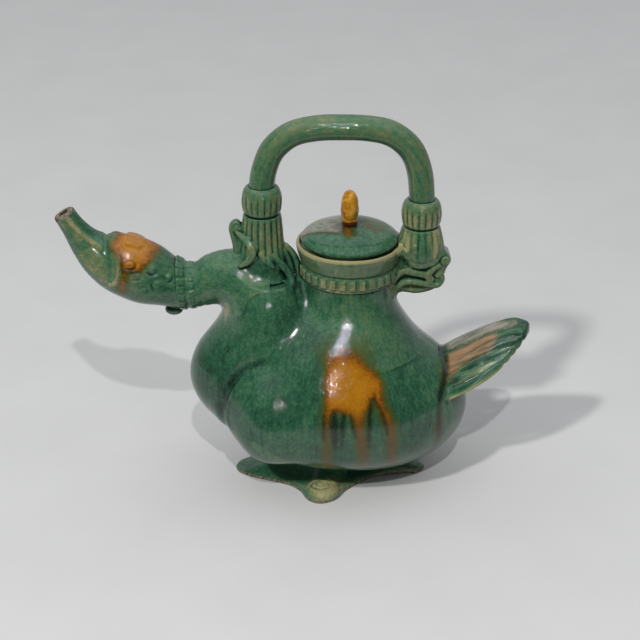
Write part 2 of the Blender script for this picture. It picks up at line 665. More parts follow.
def rear_socket(p):
    flutes = [(131, 0.2), (136, 0.7), (142, 0.8), (148, 0.7), (149, 0.2)]
    form = turned(p, REAR_LEG_X, REAR_SOCKET, flutes=flutes)
    form = smooth_min(form, ellipsoid(mirrored(p), (34.3, 11.3, 140.9), (1.5, 1.2, 2.4)), 0.6)
    return luted(form, mouth_collar(p), fillet=4)


# Snail curl and bent leaves in front of the front socket
CURL = ((-59.9, 0, 147.5), (4.3, 3.9, 5.7))
CURL_LINE = [  # x, z and depth
    (-58.6, 149.4, 0.7), (-59.8, 150.6, 0.9), (-61.2, 149.2, 0.9), (-60.9, 146.6, 0.9), (-59, 145.2, 0.9),
    (-57, 146.6, 0.8), (-56.6, 150, 0.8), (-58.2, 153, 0.6),
]
CURL_STEM = [(-60.6, 0, 143.4, 2.8), (-59.6, 0, 139.6, 3), (-58.8, 0, 135.4, 3.3), (-58.6, 0, 131.4, 3.6)]
CURL_BACK = [(-57.6, 0, 139, 3), (-56.4, 0, 144, 3), (-55.2, 0, 149, 2.6)]
SIDE_LEAF = [
    (-59.8, 3.4, 147, 1.1), (-56.4, 7.4, 145.8, 1.8), (-52.8, 10.4, 142.8, 2.1), (-51.2, 12, 138.4, 2.2),
    (-53.4, 12.6, 134.2, 1.9), (-57.4, 12, 131.2, 1.1),
]


def scroll_curl(p):
    form = ellipsoid(p, *CURL)
    form = smooth_min(form, strand(p, CURL_STEM, (1, 1.3, 1)), 1)
    form = smooth_min(form, strand(p, CURL_BACK, (1, 1.2, 1)), 1)
    form = carved(p[:, [0, 2]], form, CURL_LINE, 0.75, axes=(0, 1))
    return luted(form, np.minimum(socket_seat(p), front_socket(p)), fillet=1.2)


def side_leaf(side, p):
    rows = [(x, side * y, z, r) for x, y, z, r in SIDE_LEAF]
    vein = [(x, side * (y + 0.8 * r), z + 0.5 * r, 0.45) for x, y, z, r in SIDE_LEAF[1:-1]]
    form = carved(p, strand(p, rows), vein, 0.6)
    return luted(form, np.minimum(socket_seat(p), front_socket(p)), fillet=1.2)


# Scroll bracket behind the mouth
BRACKET = [
    (18, 132), (18, 98), (23.7, 107), (27.4, 112.2), (36, 111.4), (44.6, 113.6), (48.6, 117.4),
    (50.6, 122), (52, 126.5), (54.2, 130.6), (52.4, 134.6), (48.9, 137.6), (44, 136), (34, 134),
]
UPPER_RIDGE = [
    (21.5, 8.2, 117, 2), (24.4, 8.8, 124, 2.3), (28.6, 8.8, 127.4, 2.4), (34, 8.6, 126, 2.2),
    (39.6, 8, 124.4, 2), (43.6, 7.4, 121.6, 1.7),
]
LOWER_RIDGE = [
    (22, 7.8, 111.5, 1.5), (26, 8, 118, 1.9), (31, 8.2, 120.6, 2), (37, 8, 119.8, 1.9),
    (43, 7.4, 118, 1.7),
]
CLOUD_CURL = [
    (47.8, 6.6, 129.2, 1.5), (44, 7.4, 127.4, 1.9), (41.8, 7.6, 123.2, 1.9), (43.4, 7.4, 118.8, 1.8),
    (47, 6.8, 117.8, 1.6), (49.4, 6.4, 120.8, 1.5), (48.2, 6.4, 124, 1.9), (46.8, 6.6, 123.4, 1.6),
]
RUNG = [(46, 7, 132, 1.2), (42, 8.4, 130.6, 1.6), (37, 8.8, 129.6, 1.6), (33, 8.6, 130.6, 1.4)]
ARM = [(23, 13.2, 138.6, 1.2), (25.4, 11.4, 138.6, 1.6), (28, 9.4, 137.6, 1.7), (30, 8.6, 135.6, 1.4)]
SCROLL_EYE = (50.7, 131.8)
BRACKET_HALF = 6.6  # half its width
BRACKET_PIT = ((27.9, 8.5, 131.2), 3)


def scroll_bracket(p):
    m = mirrored(p)
    form = smooth_max(polygon(p[:, [0, 2]], curve_points(BRACKET, 42)), m[:, 1] - BRACKET_HALF, 4)
    for rows in (UPPER_RIDGE, LOWER_RIDGE, CLOUD_CURL, RUNG, ARM):
        form = smooth_min(form, strand(m, rows), 0.7)
    form = smooth_max(form, -ball(m, *BRACKET_PIT), 0.8)
    base = np.minimum(np.minimum(mouth_collar(p), rear_socket(p)), body_outside(p))
    return luted(form, base, fillet=2.4)


def scroll_eye(side, p):
    q = p - np.array((SCROLL_EYE[0], side * BRACKET_HALF, SCROLL_EYE[1]), np.float32)
    ring = np.hypot(np.hypot(q[:, 0], q[:, 2]) - 1.7, q[:, 1] * 0.75) - 0.95
    return smooth_min(ring, ellipsoid(q, (0, 0, 0), (1.8, 1.3, 1.8)), 0.4)


def duck_eye(side, p):
    x, y, z = EYE_AT
    pupil = ball(p, (x + 0.6, side * y + side * 1.9, z), 0.8)
    return smooth_max(ellipsoid(p, (x, side * y, z), EYE_SIZE), -pupil, 0.4)


def throat_knob(p):
    return luted(ellipsoid(p, *KNOB), neck_and_head(p), fillet=1.6)


# Lid
LID_DOME = [
    (22.4, 139.6), (24.6, 141.2), (25.5, 142.5), (25.4, 143.3), (24.4, 144.4), (22, 145.9), (18, 147.4),
    (12.5, 148.8), (7, 149.4), (3, 149.6),
]
RING_RADII = (16.6, 20.6)
RING_Z = (130.0, 138.6)
BUD = [
    (2.6, 150.6), (3.6, 150.7), (4, 151.6), (3.8, 153), (3.7, 153.8), (4.1, 155.4), (4.5, 158.6),
    (4.4, 162), (3.7, 165.4), (2.4, 168), (1, 169.1),
]


def lid_cap(p):
    across = from_axis(p)
    rim = 0.25 * np.exp(-((across - 24.2) / 0.7) ** 2)
    return turned(p, 0, LID_DOME) + rim + uneven(p, size=24, height=0.09)


def lid_ring(p):
    across = from_axis(p)
    wall = smooth_max(across - RING_RADII[1], RING_RADII[0] - across, 0.8)
    return smooth_max(wall, np.abs(p[:, 2] - sum(RING_Z) / 2) - (RING_Z[1] - RING_Z[0]) / 2, 0.8)


def lid_bud(p):
    return turned(p, 0, BUD, 0.3) + uneven(p, size=9, height=0.12)


# Where the glazes lie, as distances from their edges that are positive inside
SPLASH = [  # x and z on the flank
    (-10.4, 91.2), (-2.6, 92.9), (4.3, 91.1), (8.5, 85.7), (12.7, 82.5), (16.5, 77.2), (17, 72.9),
    (13.8, 71), (11.1, 68.4), (10.1, 64.5), (8, 61.6), (5.5, 49.7), (2.8, 55.3), (1.1, 61.1), (-3.1, 63.4),
    (-7.3, 64.5), (-10.4, 62.4), (-12.5, 64.5), (-12.8, 73), (-13.1, 80.1), (-12, 85.7),
]
SPLASH_FADE_Z = (80.0, 93.0)  # where its upper edge thins out
DRIPS = [  # x, z and half width
    [(-11.6, 66, 1.6), (-12.3, 57.3, 1.1), (-12.3, 50.1, 1), (-12, 41.3, 1), (-11.7, 26.8, 0.9)],
    [(4.3, 59.7, 2.4), (6, 49.6, 1.8), (6.9, 40.7, 1.9), (7.5, 25.3, 1.6)],
    [(13.4, 74, 2.6), (17, 64.6, 1.9), (20.8, 56, 1.9), (22.5, 48, 1.8), (22.8, 37.9, 1.8),
     (22.8, 23.7, 1.5)],
]
DRIPS_FROM_Z, DRIPS_TO_Z = 67.0, 52.0  # they thin to brown between these heights
DARK_RUNS = [
    [(-8.3, 64.5, 1.2), (-8.3, 57.4, 2.2), (-7.8, 49, 1.9), (-7.8, 42, 0.6)],
    [(-3, 63, 0.8), (-3.6, 55.6, 1.5), (-4.1, 49, 1.2), (-4.2, 42, 0.4)],
    [(11.1, 69, 0.7), (10.6, 61.8, 1.3), (10.4, 55.8, 1.4), (10.2, 49.2, 1), (10.2, 42, 0.4)],
    [(12.7, 69.7, 0.7), (15.9, 64.2, 0.7), (18.6, 57, 0.7), (20.1, 49.1, 0.5)],
    [(-13.6, 62, 0.4), (-13.8, 54.4, 0.8), (-13.7, 48, 0.6)],
    [(0.6, 62, 0.3), (1.6, 56, 0.7), (3.4, 49, 0.6)],
    [(-120.8, 129.8, 0.3), (-119.4, 129.6, 0.9), (-116.6, 129, 0.5), (-114, 128.7, 0.5),
     (-110.8, 128.9, 0.4)],
]
TAIL_ROOT = [  # x, distance from the middle plane, z and half width
    (50.8, 0, 76.4, 1.4), (51.3, 4, 76, 1.5), (52.2, 9.3, 73.9, 1.6), (52.3, 13.7, 71.3, 1.9),
    (51.6, 17.9, 68.6, 2.1), (50.3, 22.6, 66.3, 2), (49.1, 26.7, 63.6, 1.9), (48.5, 29.6, 60.3, 1.7),
    (48, 32, 55.5, 1.6), (48.2, 31.9, 46.2, 1.3), (48.2, 27.4, 34.2, 1), (44, 25, 25, 0.5),
]
TAIL_SPOTS = [
    (93.5, 7.9, 86.6, 1.4), (92.4, 9.4, 84.8, 0.8), (89.9, 11.7, 81.8, 1.2), (87, 14.1, 79.4, 1.1),
    (83.2, 17.3, 75.8, 0.9),
]
ROOT_AMBER = [
    [(54, 9, 75.6, 0.6), (54.2, 13.6, 73, 1.4), (53.4, 17.6, 70.4, 1.7), (51.8, 21.4, 67.6, 0.8)],
    [(48.4, 32.2, 52, 0.4), (48.6, 32, 44, 1), (48.4, 28, 35, 1), (45, 25, 26, 0.4)],
]
HEAD_PATCH = [  # x and z
    (-124.5, 143.3), (-125.4, 141.6), (-124.3, 139.6), (-121.8, 137.5), (-120.5, 134.3), (-120, 131.4),
    (-119.7, 127.7), (-120.8, 122.3), (-122, 117.4), (-120.2, 117), (-118.7, 122.4), (-117.6, 127.8),
    (-116.8, 129.4), (-114.2, 129), (-111, 129.2), (-109.2, 130.3), (-108.6, 131.8), (-106.8, 132.8),
    (-105.5, 134), (-104, 134.4), (-103.4, 136.4), (-101.3, 136.3), (-100.7, 138), (-103.1, 139.9),
    (-107, 145), (-108, 150), (-122, 150), (-122.4, 146),
]
LID_AMBER = [  # x, y and half width, under the bud and behind it
    [(-1.4, -3, 2.2), (-1.2, -8, 1.7), (-0.6, -11.6, 0.9)],
    [(6.4, 8.6, 0.2), (10.9, 6.6, 0.6), (18.4, 5.2, 0.2)],
    [(8.4, 1.6, 0.2), (12.3, -2, 0.5), (16.5, -3.2, 0.1)],
]
LID_DARK = [
    [(4.6, 6.4, 1.6), (6.4, 4, 1.2)], [(-3.6, -4.4, 1.2), (-3.4, -8, 0.9)],
    [(-25, -2.8, 0.5), (-19.9, -5, 0.7), (-15.7, -6.4, 0.6), (-10.4, -8.3, 0.7), (-6.3, -9.8, 0.4)],
]
LID_WASH = [
    (-27, -2), (-19.9, -4.4), (-15.7, -5.7), (-10.4, -7.7), (-6.3, -9.2), (-3.6, -5.8), (-3, 0), (-2, 12),
    (-1, 28), (-30, 28),
]
TAIL_WASH = [
    (54, 6.5), (62, 6.4), (72, 5.6), (80, 6), (79, 9.6), (76.4, 13), (68, 14.4), (60, 15.6), (54, 16.6),
    (53.4, 12),
]
TAIL_ASH = [(56, 2, 80, 3.2), (66, 2.2, 85.6, 3.4), (78, 2.4, 91, 3), (86, 3.6, 92.6, 2), (90, 3, 93, 1)]
FOOT_RIM_Z = 1.9
HOLE_DARK = 2.8  # how far from its middle line the bill's hole is dark
OUTSIDE = -30.0  # the distance given where a glaze is nowhere near
LID_TOP_Z = 150.2
BUD_RING_Z = 151.6
LIP_Z = (138.8, 140, 142)
LIP_RADII = (26, 26.6, 29.5)

# Places where the glaze ran thin and pale, or pooled dark: how much, then x, side, z and radius
TONES = [
    (0.35, [(-65.3, 12.8, 108.8, 2.2), (-66, 11, 104.1, 2.6), (-66.6, 10.4, 99.8, 2)]),
    (0.22, [(-50, 46, 42, 3), (-46.6, 47.2, 38.4, 4), (-39.8, 44.5, 31.8, 4), (-32, 38, 26, 2.5)]),
    (0.3, [(50, 25.4, 58.4, 1.6), (60, 26.4, 62.4, 1.7), (70, 25, 68, 1.8), (80, 20.6, 74.2, 2),
           (87, 15.4, 79.8, 2), (92.6, 11, 84.6, 1.8)]),
    (0.3, [(80.4, 8.2, 87.9, 0.9), (85.8, 7.3, 89.6, 1), (90.2, 6.5, 90.1, 1.2), (92.4, 6.3, 89.7, 1.2)]),
    (0.34, [(-123, 3, 145, 1.4), (-125.4, 5.4, 143.2, 1.6), (-125.2, 8.6, 141, 1.5),
            (-123.2, 11.4, 138, 1.5), (-121.4, 13.8, 134, 1.5), (-121.2, 15.2, 128.7, 1.5),
            (-123.2, 14.8, 123.3, 1.5), (-127, 12.6, 120.4, 1.2)]),
    (0.24, [(-148, 5.5, 155.5, 1.2), (-144.8, 5.8, 151.1, 1.5), (-137.6, 6.5, 144.2, 1.5),
            (-131.4, 8.4, 140, 1.2)]),
    (0.14, [(-141, 8, 143, 5), (-136, 10, 134, 7), (-131.6, 11.8, 128, 8)]),
    (0.16, [(-152, 4, 158, 4), (-148, 6, 152, 4), (-143, 7.5, 145, 3)]),
    (-0.16, [(-129, 6, 143, 2), (-128.6, 10.8, 137, 2.2), (-126, 14, 128, 1.8), (-127, 13.4, 123.6, 2)]),
    (-0.12, [(-129, 5, 146, 5), (-138, 3, 149.4, 4), (-145, 2, 157, 3)]),
    (-0.2, [(-46.4, 31.2, 84.8, 1.5), (-59.9, 29, 75.2, 2.6), (-68.1, 28.9, 59.3, 3.4), (-68, 26, 46, 3.4)]),
    (0.3, [(29.6, 6.8, 147.4, 1.6), (29.8, 8.4, 143, 1.8), (30.2, 9.6, 139.5, 1.5)]),
    (0.32, [(45.3, 6.8, 148.2, 2), (46, 8.2, 142.8, 2.3), (45.3, 9.9, 136.6, 1.8)]),
    (-0.2, [(37.9, 9.5, 148, 4), (38.4, 12, 141, 4.6), (38, 12.4, 136, 4)]),
    (0.3, [(34.3, 11.6, 142.6, 0.9), (34.3, 11.6, 139.4, 0.9)]),
    (0.34, [(-19, 27, 5.5, 5), (-14, 31, 7, 9), (-9, 27, 7, 6)]),
    (0.2, [(-14.6, 35, 4, 8), (-2, 24, 5, 7)]),
    (0.26, [(4, 22, 4, 1.4), (14, 12, 5, 2), (36, 7, 4, 5)]),
    (0.14, [(-12, 22, 112, 14), (4, 26, 104, 16), (20, 27, 92, 14)]),
    (0.05, [(26, 34, 80, 12), (34, 38, 66, 14)]),
    (0.1, [(-128, 8, 132, 14), (-113, 9, 124, 10)]),
    (0.1, [(48, 28, 60, 9), (52, 24, 48, 10), (46, 26, 36, 10)]),
    (0.04, [(-46, 26, 112, 14), (-44, 30, 98, 12)]),
    (-0.1, [(-76, 22, 80, 16), (-74, 24, 60, 16)]),
    *[(0.26, rows) for rows in ROOTS],
]
LIP_TONE = 0.4


def lines_edge(q, lines, steps=20):
    """How far inside the nearest of some lines of width, given as place and half width."""
    edge = np.full(len(q), OUTSIDE, np.float32)
    for rows in lines:
        line = curve_points(rows, steps)
        place, far = along(q, line[:, :-1])
        edge = np.maximum(edge, between(place, line[:, -1]) - far)
    return edge


def closed(corners, steps=90):
    return curve_points([*corners, corners[0]], steps)


def only_near_side(p):
    return smooth_step(-4, -14, p[:, 1]) * 60 - 60


def amber_edge(p):
    """Amber on the flank, its drips, the top of the head and round the tail's root."""
    side = p[:, [0, 2]]
    fade = 1 - 0.62 * smooth_step(*SPLASH_FADE_Z, p[:, 2])
    edge = np.minimum(-polygon(side, closed(SPLASH)), 30) * fade
    edge = np.maximum(edge, lines_edge(side, DRIPS)) + only_near_side(p)
    edge = np.maximum(edge, lines_edge(mirrored(p), ROOT_AMBER))
    return np.maximum(edge, -polygon(side, closed(HEAD_PATCH)))


def dark_edge(p):
    """Dark runs between the drips of the splash, the line round the tail's root and spots along its rim."""
    m = mirrored(p)
    edge = lines_edge(p[:, [0, 2]], DARK_RUNS, 12) + only_near_side(p)
    hole = curve_points([row[:3] for row in BILL_HOLE], 6)
    edge = np.maximum(edge, HOLE_DARK - along(p, hole)[1])
    for *spot, radius in TAIL_SPOTS:
        edge = np.maximum(edge, -ball(m, spot, radius))
    return np.maximum(edge, lines_edge(m, [TAIL_ROOT], 30))


def wash_edge(p):
    """Thin amber washed over the tail."""
    m = mirrored(p)
    on_tail = (p[:, 0] > 48) & (p[:, 2] > 64) & (p[:, 2] < 110)
    return np.where(on_tail, -polygon(m[:, [0, 1]], closed(TAIL_WASH, 40)), OUTSIDE)


def ash_edge(p):
    """Grey streaks on the tail's ridge."""
    return lines_edge(mirrored(p), [TAIL_ASH])


def bare_edge(p):
    """Bare clay at the bill's end and on the rim of the foot."""
    tip = np.where(p[:, 0] < BILL_HOLE[-1][0], past_bill_end(p) + 1.7, OUTSIDE)
    return np.maximum(tip, FOOT_RIM_Z - p[:, 2])


def lid_marks(p):
    plan = p[:, [0, 1]]
    wash = np.where(p[:, 2] < LID_TOP_Z, -polygon(plan, closed(LID_WASH, 40)), OUTSIDE)
    ring = 1.5 - np.abs(p[:, 2] - BUD_RING_Z)
    return {
        "amber": lines_edge(plan, LID_AMBER),
        "dark": np.maximum(lines_edge(plan, LID_DARK), ring),
        "wash": wash,
        "ash": wash - 1,
        "bare": np.full(len(p), OUTSIDE),
    }


def pot_marks(p):
    return {
        "amber": amber_edge(p),
        "dark": dark_edge(p),
        "wash": wash_edge(p),
        "ash": ash_edge(p),
        "bare": bare_edge(p),
    }


def tone_marks(p):
    m = mirrored(p)
    total = np.zeros(len(p), np.float32)
    for amount, rows in TONES:
        line = curve_points(rows, 4 * len(rows))
        wide = 1.3 * line[:, 3].max()
        near = ((m > line[:, :3].min(0) - wide) & (m < line[:, :3].max(0) + wide)).all(-1)
        if near.any():
            place, far = along(m[near], line[:, :3])
            total[near] += amount * smooth_step(1.3, 0.5, far / between(place, line[:, 3]))
    across = from_axis(p)
    inner, full, outer = LIP_RADII
    low, middle, high = LIP_Z
    lip = smooth_step(low, middle, p[:, 2]) * smooth_step(inner, full, across)
    return total + LIP_TONE * lip * (across < outer) * (p[:, 2] < high)


BAND_FROM_Z = (122, 123)
BAND_TO_Z = (129.6, 128.6)
REED_TONES = {  # axis, then height and strength
    "front_socket": (FRONT_LEG_X, [(132, 0), (139, 0.4), (145, 0.5), (153, 0.55), (156, 0.2)]),
    "rear_socket": (REAR_LEG_X, [(131, 0.1), (138, 0.24), (147, 0.4), (149, 0.2)]),
    "front_bead": (FRONT_LEG_X, [(157.5, 0.1), (160, 0.4), (166, 0.36), (170, 0)]),
    "rear_bead": (REAR_LEG_X, [(150.5, 0.2), (153, 0.6), (159, 0.5), (162.5, 0)]),
}


def relief_tone(node, p):
    """Paler glaze on the crests of reeds and blocks, and darker glaze between them."""
    if node == "mouth_collar":
        band = smooth_step(*BAND_FROM_Z, p[:, 2]) * smooth_step(*BAND_TO_Z, p[:, 2])
        return band * (0.2 * collar_blocks(p)[0] - 0.08)
    if node not in REED_TONES:
        return 0
    x, rows = REED_TONES[node]
    strength = np.interp(p[:, 2], *zip(*rows))
    foot = smooth_step(139, 133, p[:, 2]) * (node == "front_socket")
    return strength * (smooth_step(0.3, 1, reeds(p, x)) - 0.6) - 0.22 * foot


# Which way the glaze was brushed: places squeezed along the strokes, so that streaks run along them
def brushed(node, p):
    x, y, z = p.T
    if node == "handle_bail":
        place, _ = along(p, curve_points(BAIL, 40))
        return np.stack([0.25 * place, y, np.hypot(x - ARCH_MIDDLE[0], z - ARCH_MIDDLE[1])], -1)
    if node == "tail_fan":
        return np.stack([0.12 * (x + 0.5 * z), 1.3 * y, z - 0.5 * x], -1)
    if node in ("head_spout", "neck_band"):
        return np.stack([0.3 * x, y, z], -1)
    return np.stack([x, y, 0.12 * z], -1)


# Fine surfaces: a grid is sampled near the form's skin and joined into quads
def in_chunks(form, points, size=30000):
    points = points.astype(np.float32)
    chunks = [points[i:i + size] for i in range(0, len(points), size)]
    with ThreadPoolExecutor(4) as pool:
        return np.concatenate(list(pool.map(form, chunks)))


def sampled(form, low, shape, cell):
    """Values on a grid, worked out in full only near the skin."""
    stride = 4
    coarse = [np.arange((n + 1) // stride + 2) * stride * cell + low[k] for k, n in enumerate(shape)]
    grid = np.stack(np.meshgrid(*coarse, indexing="ij"), -1)
    rough = in_chunks(form, grid.reshape(-1, 3)).reshape(grid.shape[:3])
    values = rough[np.ix_(*[(np.arange(n) + stride // 2) // stride for n in shape])]
    near = np.argwhere(np.abs(values) < 1.6 * math.sqrt(3) * stride / 2 * cell + cell)
    values[tuple(near.T)] = in_chunks(form, near * cell + low)
    return values


CORNERS = np.array([(i, j, k) for i in (0, 1) for j in (0, 1) for k in (0, 1)])
EDGES = [(a, b) for a in range(8) for b in range(a + 1, 8) if np.abs(CORNERS[a] - CORNERS[b]).sum() == 1]


def surface_net(values, low, cell):
    """One point in each cell that the skin crosses, and a quad across each grid edge that it crosses."""
    inside = values < 0
    shape = np.array(values.shape) - 1
    nx, ny, nz = shape
    count = sum(inside[i:i + nx, j:j + ny, k:k + nz].astype(np.int8) for i, j, k in CORNERS)
    crossed = (count > 0) & (count < 8)
    cells = np.argwhere(crossed)
    number = np.full(crossed.shape, -1)
    number[crossed] = np.arange(len(cells))
    at = np.stack([values[tuple((cells + corner).T)] for corner in CORNERS], -1)
    total = np.zeros((len(cells), 3))
    hits = np.zeros(len(cells))
    for a, b in EDGES:
        cut = (at[:, a] < 0) != (at[:, b] < 0)
        share = at[cut, a] / (at[cut, a] - at[cut, b])
        total[cut] += CORNERS[a] + share[:, None] * (CORNERS[b] - CORNERS[a])
        hits[cut] += 1
    points = (cells + total / hits[:, None]) * cell + low
    quads = []
    for axis in range(3):
        u, v = (axis + 1) % 3, (axis + 2) % 3
        ahead = np.roll(inside, -1, axis)
        change = np.argwhere(inside != ahead)
        fits = (change[:, axis] < shape[axis]) & (change[:, u] > 0) & (change[:, v] > 0)
        change = change[fits & (change[:, u] < shape[u]) & (change[:, v] < shape[v])]
        step_u, step_v = np.eye(3, dtype=int)[u], np.eye(3, dtype=int)[v]
        ring = [change - step_u - step_v, change - step_v, change, change - step_u]
        quad = np.stack([number[tuple(cell_at.T)] for cell_at in ring], -1)
        outward = inside[tuple(change.T)]
        quad[~outward] = quad[~outward][:, ::-1]
        quads.append(quad)
    return points, np.concatenate(quads)


SPOKES = np.array([(1, -1, -1), (-1, -1, 1), (-1, 1, -1), (1, 1, 1)], np.float32)


def settled(form, points, cell, rounds=2, probe=0.12):
    """Moves points onto the skin, and gives the directions that face out of it."""
    for turn in range(rounds + 1):
        around = np.concatenate([points + probe * spoke for spoke in SPOKES])
        found = in_chunks(form, around).reshape(4, -1)
        slope = np.einsum("kn,kd->nd", found, SPOKES) / (4 * probe)
        length = np.maximum(np.linalg.norm(slope, axis=1), 0.3)[:, None]
        if turn < rounds:
            step = found.mean(0)[:, None] / length
            points = points - slope / length * np.clip(step, -0.5 * cell, 0.5 * cell)
    return points, slope / length


def object_from(name, points, quads):
    mesh = bpy.data.meshes.new(name)
    mesh.vertices.add(len(points))
    mesh.vertices.foreach_set("co", (points * MM).astype(np.float32).ravel())
    mesh.loops.add(quads.size)
    mesh.loops.foreach_set("vertex_index", quads.astype(np.int32).ravel())
    mesh.polygons.add(len(quads))
    mesh.polygons.foreach_set("loop_start", np.arange(0, quads.size, 4, dtype=np.int32))
    mesh.update(calc_edges=True)
    mesh.shade_smooth()
    piece = bpy.data.objects.new(name, mesh)
    bpy.context.scene.collection.objects.link(piece)
    return piece


def give(piece, name, values):
    piece.data.attributes.new(name, "FLOAT", "POINT").data.foreach_set("value", values.astype(np.float32))


# The pieces
class Piece(NamedTuple):
    node: str
    form: Callable
    cell: float  # size of a cell of the grid that its skin is sampled on
    thin: float  # how thin the glaze lies on the clay
    slot: str = "pale_glaze"
    body: str = "pot"


PIECES = {
    "body_skin": Piece("body_shell", body, 0.95, 0.0, "green_glaze"),
    "collar_skin": Piece("mouth_collar", mouth_collar, 0.55, 0.3),
    "head_skin": Piece("head_spout", head, 0.6, 0.14, "green_glaze"),
    "band_skin": Piece("neck_band", neck_band, 0.5, 0.12),
    "near_eye_skin": Piece("near_eye", partial(duck_eye, -1), 0.3, 0.3),
    "far_eye_skin": Piece("far_eye", partial(duck_eye, 1), 0.3, 0.3),
    "knob_skin": Piece("throat_knob", throat_knob, 0.4, 0.1, "dark_glaze"),
    "tail_skin": Piece("tail_fan", tail, 0.6, -0.1, "green_glaze"),
    "foot_skin": Piece("foot_plate", foot, 0.7, 0.1, "dark_glaze"),
    "front_socket_skin": Piece("front_socket", front_socket, 0.5, 0.2),
    "curl_skin": Piece("front_scroll", scroll_curl, 0.4, 0.2),
    "near_leaf_skin": Piece("near_leaf", partial(side_leaf, -1), 0.4, 0.3),
    "far_leaf_skin": Piece("far_leaf", partial(side_leaf, 1), 0.4, 0.3),
    "front_bead_skin": Piece("front_bead", partial(bead, "front_bead"), 0.5, 0.27),
    "rear_bead_skin": Piece("rear_bead", partial(bead, "rear_bead"), 0.5, 0.34),
    "bail_skin": Piece("handle_bail", bail, 0.8, 0.27, "green_glaze"),
    "rear_socket_skin": Piece("rear_socket", rear_socket, 0.5, 0.29),
    "bracket_skin": Piece("rear_bracket", scroll_bracket, 0.5, 0.33),
    "near_scroll_eye_skin": Piece("near_scroll_eye", partial(scroll_eye, -1), 0.35, 0.3),
    "far_scroll_eye_skin": Piece("far_scroll_eye", partial(scroll_eye, 1), 0.35, 0.3),
    "lid_skin": Piece("lid_cap", lid_cap, 0.6, 0.1, "green_glaze", "lid"),
    "lid_ring_skin": Piece("lid_ring", lid_ring, 0.8, 0.2, body="lid"),
    "bud_skin": Piece("lid_finial", lid_bud, 0.35, 0.0, "amber_glaze", "lid"),
}
MARGIN = 5.0  # how far a fillet may reach past its CAD node


def piece_box(node):
    low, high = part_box(node)
    return np.array(low) / MM - MARGIN, np.array(high) / MM + MARGIN


BOXES = {name: piece_box(piece.node) for name, piece in PIECES.items()}


def whole(p, body_name):
    """Distance from everything that rides on one body."""
    values = np.full(len(p), REACH, np.float32)
    for name, piece in PIECES.items():
        if piece.body == body_name:
            low, high = BOXES[name]
            near = np.nonzero(((p > low) & (p < high)).all(-1))[0]
            if len(near):
                values[near] = np.minimum(values[near], piece.form(p[near]))
    return values


POOLED_DEPTH = 0.9
SHELTERED_DEPTH = 3.5
RAISED_DEPTH = 1.1


def make_piece(name, materials):
    """One visible piece, with how its glaze lies at each point, measured from the clay around it."""
    node, form, cell, thin, slot, body_name = PIECES[name]
    low, high = BOXES[name]
    shape = np.ceil((high - low) / cell).astype(int) + 1
    points, quads = surface_net(sampled(form, low, shape, cell), low, cell)
    points, out = settled(form, points, cell)
    piece = object_from(name, points, quads)
    around = partial(whole, body_name=body_name)
    for label, depth in (("pooled", POOLED_DEPTH), ("sheltered", SHELTERED_DEPTH)):
        give(piece, label, 1 - in_chunks(around, points + depth * out) / depth)
    give(piece, "raised", 1 + in_chunks(around, points - RAISED_DEPTH * out) / RAISED_DEPTH)
    marks = (pot_marks if body_name == "pot" else lid_marks)(points.astype(np.float32))
    for label, values in marks.items():
        give(piece, label, values)
    give(piece, "thin", thin + tone_marks(points.astype(np.float32)) + relief_tone(node, points))
    brush = piece.data.attributes.new("brush", "FLOAT_VECTOR", "POINT")
    brush.data.foreach_set("vector", (brushed(node, points) * MM).astype(np.float32).ravel())
    piece.data.materials.append(materials[slot])
    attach(piece, body_name)
    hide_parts(node)


# Glazes
DEEP_GREEN = (0.006, 0.012, 0.008)
DARK_GREEN = (0.013, 0.042, 0.024)
GREEN = (0.023, 0.088, 0.045)
LIGHT_GREEN = (0.052, 0.134, 0.067)
THIN_GREEN = (0.12, 0.155, 0.07)
BUFF = (0.27, 0.25, 0.12)
GREENS = (
    (0.0, DEEP_GREEN), (0.2, DARK_GREEN), (0.42, GREEN), (0.6, LIGHT_GREEN), (0.8, THIN_GREEN), (1.0, BUFF),
)
AMBER = (0.27, 0.098, 0.004)
BROWN_AMBER = (0.15, 0.05, 0.003)
DEEP_AMBER = (0.06, 0.03, 0.004)
PALE_AMBER = (0.38, 0.16, 0.008)
HONEY = (0.55, 0.29, 0.03)
RED_POOL = (0.06, 0.012, 0.003)
DRIP_BROWN = (0.085, 0.05, 0.01)
OLIVE = (0.06, 0.07, 0.01)
PINK_WASH = (0.3, 0.17, 0.09)
ASH = (0.26, 0.24, 0.19)
CLAY = (0.13, 0.115, 0.07)
PALE_CLAY = (0.25, 0.2, 0.13)
BURNT = (0.02, 0.016, 0.009)
RUN_BLACK = (0.009, 0.012, 0.006)
GLAZE_IOR = 1.55
AMBER_IOR = 1.6
GLAZE_RELIEF = 0.2
AMBER_RELIEF = 0.3


